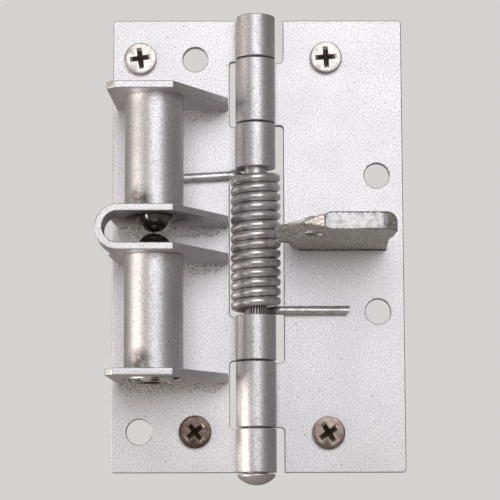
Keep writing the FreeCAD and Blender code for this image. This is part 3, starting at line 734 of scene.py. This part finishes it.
def ring(solid, radius, level, count):
    """A ring of vertices about Z."""
    return [solid.verts.new(on_circle(radius, 2 * math.pi * k / count, level)) for k in range(count)]


def skin(solid, first, second):
    """Faces between two rings, first above second."""
    count = len(first)
    for k in range(count):
        after = (k + 1) % count
        solid.faces.new((first[after], first[k], second[k], second[after]))


def screw_mesh(sizes):
    """The screw without its thread: a flat head over a cone, a cross recess, and a pointed core."""
    count = 48
    solid = bmesh.new()
    marks = solid.verts.layers.float.new("recess"), solid.verts.layers.float.new("rubbed")
    edge = sizes.edge
    rows = [
        (sizes.head - edge, sizes.rise),
        (sizes.head - 0.35 * edge, sizes.rise - 0.25 * edge),
        (sizes.head, sizes.rise - edge),
        (sizes.head, sizes.rise - sizes.rim),
        (sizes.neck, 0.1 * MM),
        (sizes.neck, -0.6 * MM),
        (sizes.shank, -2.6 * MM),
        (sizes.shank, POINT - sizes.length),
        (0.15 * MM, -sizes.length),
    ]
    rings = [ring(solid, radius, level, count) for radius, level in rows]
    for first, second in zip(rings, rings[1:]):
        skin(solid, first, second)
    solid.faces.new(rings[-1][::-1])
    cut_cross(solid, rings[0], sizes, *marks)
    bmesh.ops.recalc_face_normals(solid, faces=solid.faces)
    mesh = smooth_mesh(solid, "screw_core")
    mesh.set_sharp_from_angle(angle=math.radians(28))
    return mesh


def cut_cross(solid, rim, sizes, painted_shading, rubbed):
    """Fills a head's rim and cuts a cross recess in it. Its arms flare a little towards their ends. The
    walls, painted dark as shade, and the edges, painted bright as worn plating and a highlight, are marked in
    two float layers, which the plating reads."""
    half = sizes.slot / 2
    corner = [(sizes.arm, -half * 1.05), (sizes.arm, half * 1.05), (half * 1.15, half * 1.15)]
    cross = []
    for quarter in range(4):
        turn = Matrix.Rotation(quarter * math.pi / 2, 2)
        for point in corner:
            x, y = turn @ Vector(point)
            cross.append(solid.verts.new((x, y, sizes.rise)))
    loop = [solid.edges.new((cross[k - 1], cross[k])) for k in range(len(cross))]
    outer = [solid.edges.get((rim[k - 1], rim[k])) for k in range(len(rim))]
    bmesh.ops.triangle_fill(solid, use_beauty=True, use_dissolve=False, edges=loop + outer)
    inner = []
    for face in solid.faces:
        x, y, level = face.calc_center_median()
        near, far = sorted((abs(x), abs(y)))
        if abs(level - sizes.rise) < SPECK and near < half and far < sizes.arm:
            inner.append(face)
    bmesh.ops.delete(solid, geom=inner, context="FACES_ONLY")
    # a worn edge with a painted highlight, then walls that fall towards the middle: share of the cross, fall,
    # wear with highlight, and painted shade
    steps = ((0.94, 0.05 * MM, 1, 0), (0.85, 0.3 * MM, 0.8, 0), (0.6, sizes.depth * 0.75, 0, 1))
    loops = [cross]
    for share, fall, wear, darkening in steps:
        loops.append([
            solid.verts.new((vert.co.x * share, vert.co.y * share, sizes.rise - fall)) for vert in cross
        ])
        for vert in loops[-1]:
            vert[rubbed], vert[painted_shading] = wear, darkening
    for upper, lower in zip(loops, loops[1:]):
        for k in range(len(cross)):
            solid.faces.new((upper[k - 1], upper[k], lower[k], lower[k - 1]))
    floor = solid.verts.new((0, 0, sizes.rise - sizes.depth))
    floor[painted_shading] = 1.0
    for k in range(len(cross)):
        solid.faces.new((loops[-1][k - 1], loops[-1][k], floor))


class HINGE_OT_sheet_parts(bpy.types.Operator):
    """Rounds and paints the leaves, ears, fork, tubes and pin"""

    bl_idname = "hinge.sheet_parts"
    bl_label = "Leaves, Ears and Tubes"

    def execute(self, context):
        sizes, colours = context.scene.hinge_sheet, context.scene.hinge_colours
        paint, pin = silver_paint(colours), pin_steel(colours)
        # the fork's enamel is darkened inside its gap by a grease film and painted shade, in a dark brown
        # tone
        greased_and_shaded = silver_paint(colours, "greased_and_shaded", grease, "#3a322c")
        # the tubes' enamel carries a painted dark reflection of the ear below each tube, in a brown tone
        ear_reflecting = silver_paint(colours, "ear_reflecting", ear_reflection, "#4b4039")
        for node in ("frame_leaf", "door_leaf", "top_ear", "bottom_ear", "fork_bracket"):
            name, body = f"{node}_painted", "door" if node == "door_leaf" else "frame"
            finish = greased_and_shaded if node == "fork_bracket" else paint
            piece(rounded(node, name, sizes.sheet_edge), name, finish, body, "silver_coat", node)
        rim = bare_rim()
        proud = 0.1 * MM  # the bare rims stand at least this far out of the ears
        for node, end in (("upper_tube", 1), ("lower_tube", -1)):
            name = f"{node}_painted"
            mesh = rounded(node, name, sizes.tube_edge)
            piece(mesh, name, ear_reflecting, "frame", "silver_coat", node)
            mesh.materials.append(rim)
            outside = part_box("top_ear")[1].z if end > 0 else -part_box("bottom_ear")[0].z
            for face in mesh.polygons:
                if face.center.z * end > outside + proud:
                    face.material_index = 1
        mesh = rounded("hinge_pin", "hinge_pin_turned", sizes.tube_edge)
        piece(mesh, "hinge_pin_turned", pin, "frame", "pin_steel", "hinge_pin")
        return {"FINISHED"}


class HINGE_OT_torsion_spring(bpy.types.Operator):
    """Winds the torsion spring between the leaves"""

    bl_idname = "hinge.torsion_spring"
    bl_label = "Torsion Spring"

    def execute(self, context):
        sizes = context.scene.hinge_spring
        finish = spring_wire(context.scene.hinge_colours)
        points = torsion_path(sizes)
        mesh = with_tree(
            path_mesh("torsion_path", [points]), "torsion_spring_wire", wire_tree(),
            Wire_Radius=sizes.wire / 2, Sides=20, Finish=finish,
        )
        for vert in mesh.vertices:  # lean the sheared tips
            for tip, out in ((points[0], 1), (points[-1], -1)):
                if abs(vert.co.x - tip.x) < 10 * SPECK:
                    vert.co.x -= out * sizes.shear * (0.5 - (vert.co.z - tip.z) / sizes.wire)
        item = placed(mesh, "torsion_spring_wire")
        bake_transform(item)
        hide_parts("torsion_spring")
        return {"FINISHED"}


class HINGE_OT_catches(bpy.types.Operator):
    """Makes the balls, winds their springs and finishes their plugs"""

    bl_idname = "hinge.catches"
    bl_label = "Ball Catches"

    def execute(self, context):
        sizes, colours = context.scene.hinge_catch, context.scene.hinge_colours
        steel, wire, plug = ball_steel(colours), spring_wire(colours), plug_steel()
        for side, end in (("upper", 1), ("lower", -1)):
            low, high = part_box(f"{side}_ball")
            middle, radius = (low + high) / 2, (high.z - low.z) / 2
            solid = bmesh.new()
            bmesh.ops.create_icosphere(
                solid, subdivisions=5, radius=radius, matrix=Matrix.Translation(middle)
            )
            name = f"{side}_ball_polished"
            piece(smooth_mesh(solid, name), name, steel, f"{side}_catch_ball", "ball_steel", f"{side}_ball")
            self.spring(sizes, side, end, middle, radius, wire)
            slots = frame["nodes"][f"{side}_plug"].data.materials
            slots.clear()
            slots.append(plug)
        return {"FINISHED"}

    @staticmethod
    def spring(sizes, side, end, middle, ball, finish):
        """A spring between a ball and its plug. It is drawn over the ball's middle and turned over for the
        lower catch."""
        plug_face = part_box(f"{side}_plug")[0 if end > 0 else 1].z
        reach = sizes.wire / 2 + sizes.gap
        coil = ball + sizes.bore - reach
        low = math.sqrt((ball + reach) ** 2 - coil**2)
        high = abs(plug_face - middle.z) - reach
        over = Matrix.Translation(middle) @ Matrix.Rotation(0 if end > 0 else math.pi, 4, "X")
        points = [over @ point for point in catch_path(sizes, coil, low, high)]
        name = f"{side}_catch_spring_wire"
        mesh = with_tree(
            path_mesh(f"{side}_catch_path", [points]), name, wire_tree(),
            Wire_Radius=sizes.wire / 2, Sides=14, Finish=finish,
        )
        item = piece(mesh, name, finish, "frame", "spring_steel", f"{side}_catch_spring")
        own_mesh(item)


class HINGE_OT_tongue(bpy.types.Operator):
    """Gives the striker tongue its forged and ground surface"""

    bl_idname = "hinge.tongue"
    bl_label = "Striker Tongue"

    def execute(self, context):
        sizes = context.scene.hinge_tongue
        solid = merged("striker_tongue")
        wear_edges(solid, sharper_than=25, width=sizes.edge, segments=2, clamp=True)
        self.refine(solid, sizes.grain)
        bmesh.ops.recalc_face_normals(solid, faces=solid.faces)
        solid.normal_update()
        base = LEAF_FRONT - 0.6 * MM  # the foot stays flat on the leaf
        broad, fine = 5 * MM, 1.5 * MM  # sizes of the hollows and the pits
        front = solid.verts.layers.float.new("front")
        for vert in solid.verts:
            # faces within about 45 degrees of the front count, the flattest of them in full
            vert[front] = max(0.0, min(1.0, (-vert.normal.y - 0.7) / 0.25))
            if vert.co.y < base:
                depth = noise.noise(vert.co / broad) * sizes.hollow + noise.noise(vert.co / fine) * sizes.pits
                vert.co += vert.normal * (depth - sizes.hollow - sizes.pits)
        name = "striker_tongue_forged"
        finish = tongue_steel(context.scene.hinge_colours)
        piece(smooth_mesh(solid, name), name, finish, "door", "tongue_steel", "striker_tongue")
        return {"FINISHED"}

    @staticmethod
    def refine(solid, longest, rounds=8):
        """Cuts the surface into triangles, until no edge is too long."""
        bmesh.ops.triangulate(solid, faces=solid.faces)
        for _ in range(rounds):
            long = [edge for edge in solid.edges if edge.calc_length() > longest]
            if not long:
                break
            bmesh.ops.subdivide_edges(solid, edges=long, cuts=1, use_single_edge=True)
            bmesh.ops.triangulate(solid, faces=solid.faces)


class HINGE_OT_screws(bpy.types.Operator):
    """Drives the four fixing screws"""

    bl_idname = "hinge.screws"
    bl_label = "Screws"

    def execute(self, context):
        sizes, colours = context.scene.hinge_screws, context.scene.hinge_colours
        nickel = screw_plating("nickel", colours.nickel, "#c4bdba", 0.3)
        bronzed = screw_plating("bronzed", colours.bronzed, "#5f5048", 0.75)
        dulled = screw_plating("dulled", colours.dulled, "#877870", 0.6)
        core = placed(screw_mesh(sizes), "screw_core")
        thread = placed(with_tree(
            path_mesh("thread_path", [thread_path(sizes)]), "screw_thread", wire_tree(),
            Wire_Radius=sizes.thread, Sides=4, Finish=nickel,
        ), "screw_thread")
        tree = screw_tree()
        seats = (  # node, body, plating, slot, and the cross's turn in degrees
            ("frame_screw_top", "frame", nickel, "screw_nickel", 8),
            ("door_screw_top", "door", nickel, "screw_nickel", 4),
            ("frame_screw_bottom", "frame", bronzed, "screw_bronzed", 38),
            ("door_screw_bottom", "door", dulled, "screw_bronzed", 33),
        )
        for node, body, finish, slot, turn in seats:
            middle, name = centre(node), f"{node}_driven"
            mesh = with_tree(
                path_mesh(f"{node}_seat", [[Vector((middle.x, LEAF_FRONT, middle.z))]]), name, tree,
                Screw=core, Thread=thread, Turn=-math.radians(turn), Finish=finish,
            )
            piece(mesh, name, finish, body, slot, node)
        for item in (core, thread):
            bpy.data.objects.remove(item)
        return {"FINISHED"}


class HINGE_OT_welds(bpy.types.Operator):
    """Lays the weld seams and their spatter under the ears and the fork"""

    bl_idname = "hinge.welds"
    bl_label = "Weld Seams"

    def execute(self, context):
        sizes = context.scene.hinge_sheet
        finish = weld_metal(context.scene.hinge_colours)
        fork_low, fork_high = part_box("fork_bracket")
        top_low, top_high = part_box("top_ear")
        sheet = top_high.z - top_low.z
        left, right = top_low.x + 2.2 * MM, top_high.x - 1.0 * MM  # the seams stop short of the ears' ends
        levels = (top_low.z, fork_high.z - sheet, fork_low.z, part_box("bottom_ear")[0].z)
        runs = [[Vector((left, LEAF_FRONT, level)), Vector((right, LEAF_FRONT, level))] for level in levels]
        seams = with_tree(
            path_mesh("ear_seams", runs), "ear_welds", ripple_tree(),
            Bead_Radius=sizes.bead, Step=sizes.bead_step, Seed=3, Finish=finish,
        )
        piece(seams, "ear_welds", finish, "frame", "silver_coat")
        # a band below each seam, narrower at its lower end
        reach = sizes.spatter_reach
        ends = ((left, 0), (right, 0), (right - reach, reach), (left + reach, reach))
        corners = [(x, LEAF_FRONT, level - fall) for level in levels for x, fall in ends]
        bands = bpy.data.meshes.new("spatter_bands")
        bands.from_pydata(corners, [], [tuple(range(4 * k, 4 * k + 4)) for k in range(len(levels))])
        drops = with_tree(
            bands, "weld_spatter", spatter_tree(),
            Drop_Radius=sizes.spatter, Density=sizes.spatter_count / MM**2, Seed=5, Finish=finish,
        )
        piece(drops, "weld_spatter", finish, "frame", "silver_coat")
        return {"FINISHED"}


class HINGE_OT_stage(bpy.types.Operator):
    """Sets the paper bowl, the lamps and the camera"""

    bl_idname = "hinge.stage"
    bl_label = "Stage"

    def execute(self, context):
        stage, colours = context.scene.hinge_stage, context.scene.hinge_colours
        self.bowl(stage, backdrop_paper(colours))
        lamps = (  # name, place, width, watts and colour
            ("key", (0.12, -0.95, 0.32), 0.8, 4.4, "#ffffff"),
            ("left", (-0.8, -0.36, -0.2), 0.7, 5.6, "#fff3e6"),
            ("back", (-0.3, 0.9, 0.6), 0.6, 4.0, "#ffffff"),
        )
        for lamp in lamps:
            self.lamp(*lamp)
        world = bpy.data.worlds.new("soft_studio")
        world.use_nodes = True
        background = world.node_tree.nodes["Background"]
        background.inputs["Color"].default_value = (*linear("#e9e9ea"), 1)
        background.inputs["Strength"].default_value = 0.15
        context.scene.world = world
        context.scene.view_settings.view_transform = "Standard"
        self.camera(context.scene, stage)
        return {"FINISHED"}

    @staticmethod
    def bowl(stage, finish):
        """A round floor that curves up into a wall on all sides."""
        curve, steps, hub, top, count = 0.5, 16, 0.2, 3.0, 96
        line = [(hub, stage.floor), (stage.wall - curve, stage.floor)]
        for index in range(1, steps + 1):
            angle = math.pi / 2 * index / steps
            line.append((
                stage.wall - curve + curve * math.sin(angle), stage.floor + curve - curve * math.cos(angle)
            ))
        line.append((stage.wall, top))
        solid = bmesh.new()
        rings = [ring(solid, radius, level, count) for radius, level in line]
        for lower, upper in zip(rings, rings[1:]):
            skin(solid, lower, upper)
        solid.faces.new(rings[0])
        mesh = smooth_mesh(solid, "paper_bowl")
        mesh.materials.append(finish)
        placed(mesh, "paper_bowl")

    @staticmethod
    def lamp(name, place, width, watts, hex_colour):
        """A square soft lamp that faces the hinge."""
        data = bpy.data.lights.new(name, "AREA")
        data.color = linear(hex_colour)
        data.size = width
        data.energy = watts
        item = placed(data, name)
        item.location = place
        item.rotation_euler = (PIN - Vector(place)).to_track_quat("-Z", "Y").to_euler()

    @staticmethod
    def camera(scene, stage):
        """The camera, tilted up, turned right and rolled as the stage says."""
        data = bpy.data.cameras.new("camera")
        data.lens = stage.lens
        data.clip_start = 0.01
        level = math.cos(stage.pitch)
        ahead = Vector((math.sin(stage.yaw) * level, math.cos(stage.yaw) * level, math.sin(stage.pitch)))
        right = Vector((math.cos(stage.yaw), -math.sin(stage.yaw), 0))
        up = right.cross(ahead)
        side = right * math.cos(stage.roll) + up * math.sin(stage.roll)
        top = up * math.cos(stage.roll) - right * math.sin(stage.roll)
        turned = Matrix((side, top, -ahead)).transposed().to_4x4()
        item = placed(data, "camera")
        item.matrix_world = Matrix.Translation(stage.camera) @ turned
        scene.camera = item


OPERATORS = (
    HINGE_OT_sheet_parts, HINGE_OT_torsion_spring, HINGE_OT_catches, HINGE_OT_tongue, HINGE_OT_screws,
    HINGE_OT_welds, HINGE_OT_stage,
)
GROUPS = {
    "hinge_sheet": HingeSheetSizes, "hinge_spring": HingeSpringSizes, "hinge_catch": HingeCatchSizes,
    "hinge_tongue": HingeTongueSizes, "hinge_screws": HingeScrewSizes, "hinge_colours": HingeColours,
    "hinge_stage": HingeStage,
}


class HINGE_PT_panel(bpy.types.Panel):
    """Lists the hinge's sizes, colours and operators"""

    bl_label = "Spring Hinge"
    bl_idname = "HINGE_PT_panel"
    bl_space_type = "VIEW_3D"
    bl_region_type = "UI"
    bl_category = "Hinge"

    def draw(self, context):
        for name, group in GROUPS.items():
            box = self.layout.box()
            box.label(text=group.__doc__)
            for size in group.__annotations__:
                box.prop(getattr(context.scene, name), size)
        for operator in OPERATORS:
            self.layout.operator(operator.bl_idname)


def register():
    for item in (*GROUPS.values(), *OPERATORS, HINGE_PT_panel):
        bpy.utils.register_class(item)
    for name, group in GROUPS.items():
        setattr(bpy.types.Scene, name, PointerProperty(type=group))


def unregister():
    for name in GROUPS:
        delattr(bpy.types.Scene, name)
    for item in reversed((*GROUPS.values(), *OPERATORS, HINGE_PT_panel)):
        bpy.utils.unregister_class(item)


def main():
    """Builds the dressed hinge."""
    register()
    for operator in OPERATORS:
        group, name = operator.bl_idname.split(".")
        getattr(getattr(bpy.ops, group), name)()


if __name__ == "__main__":
    main()
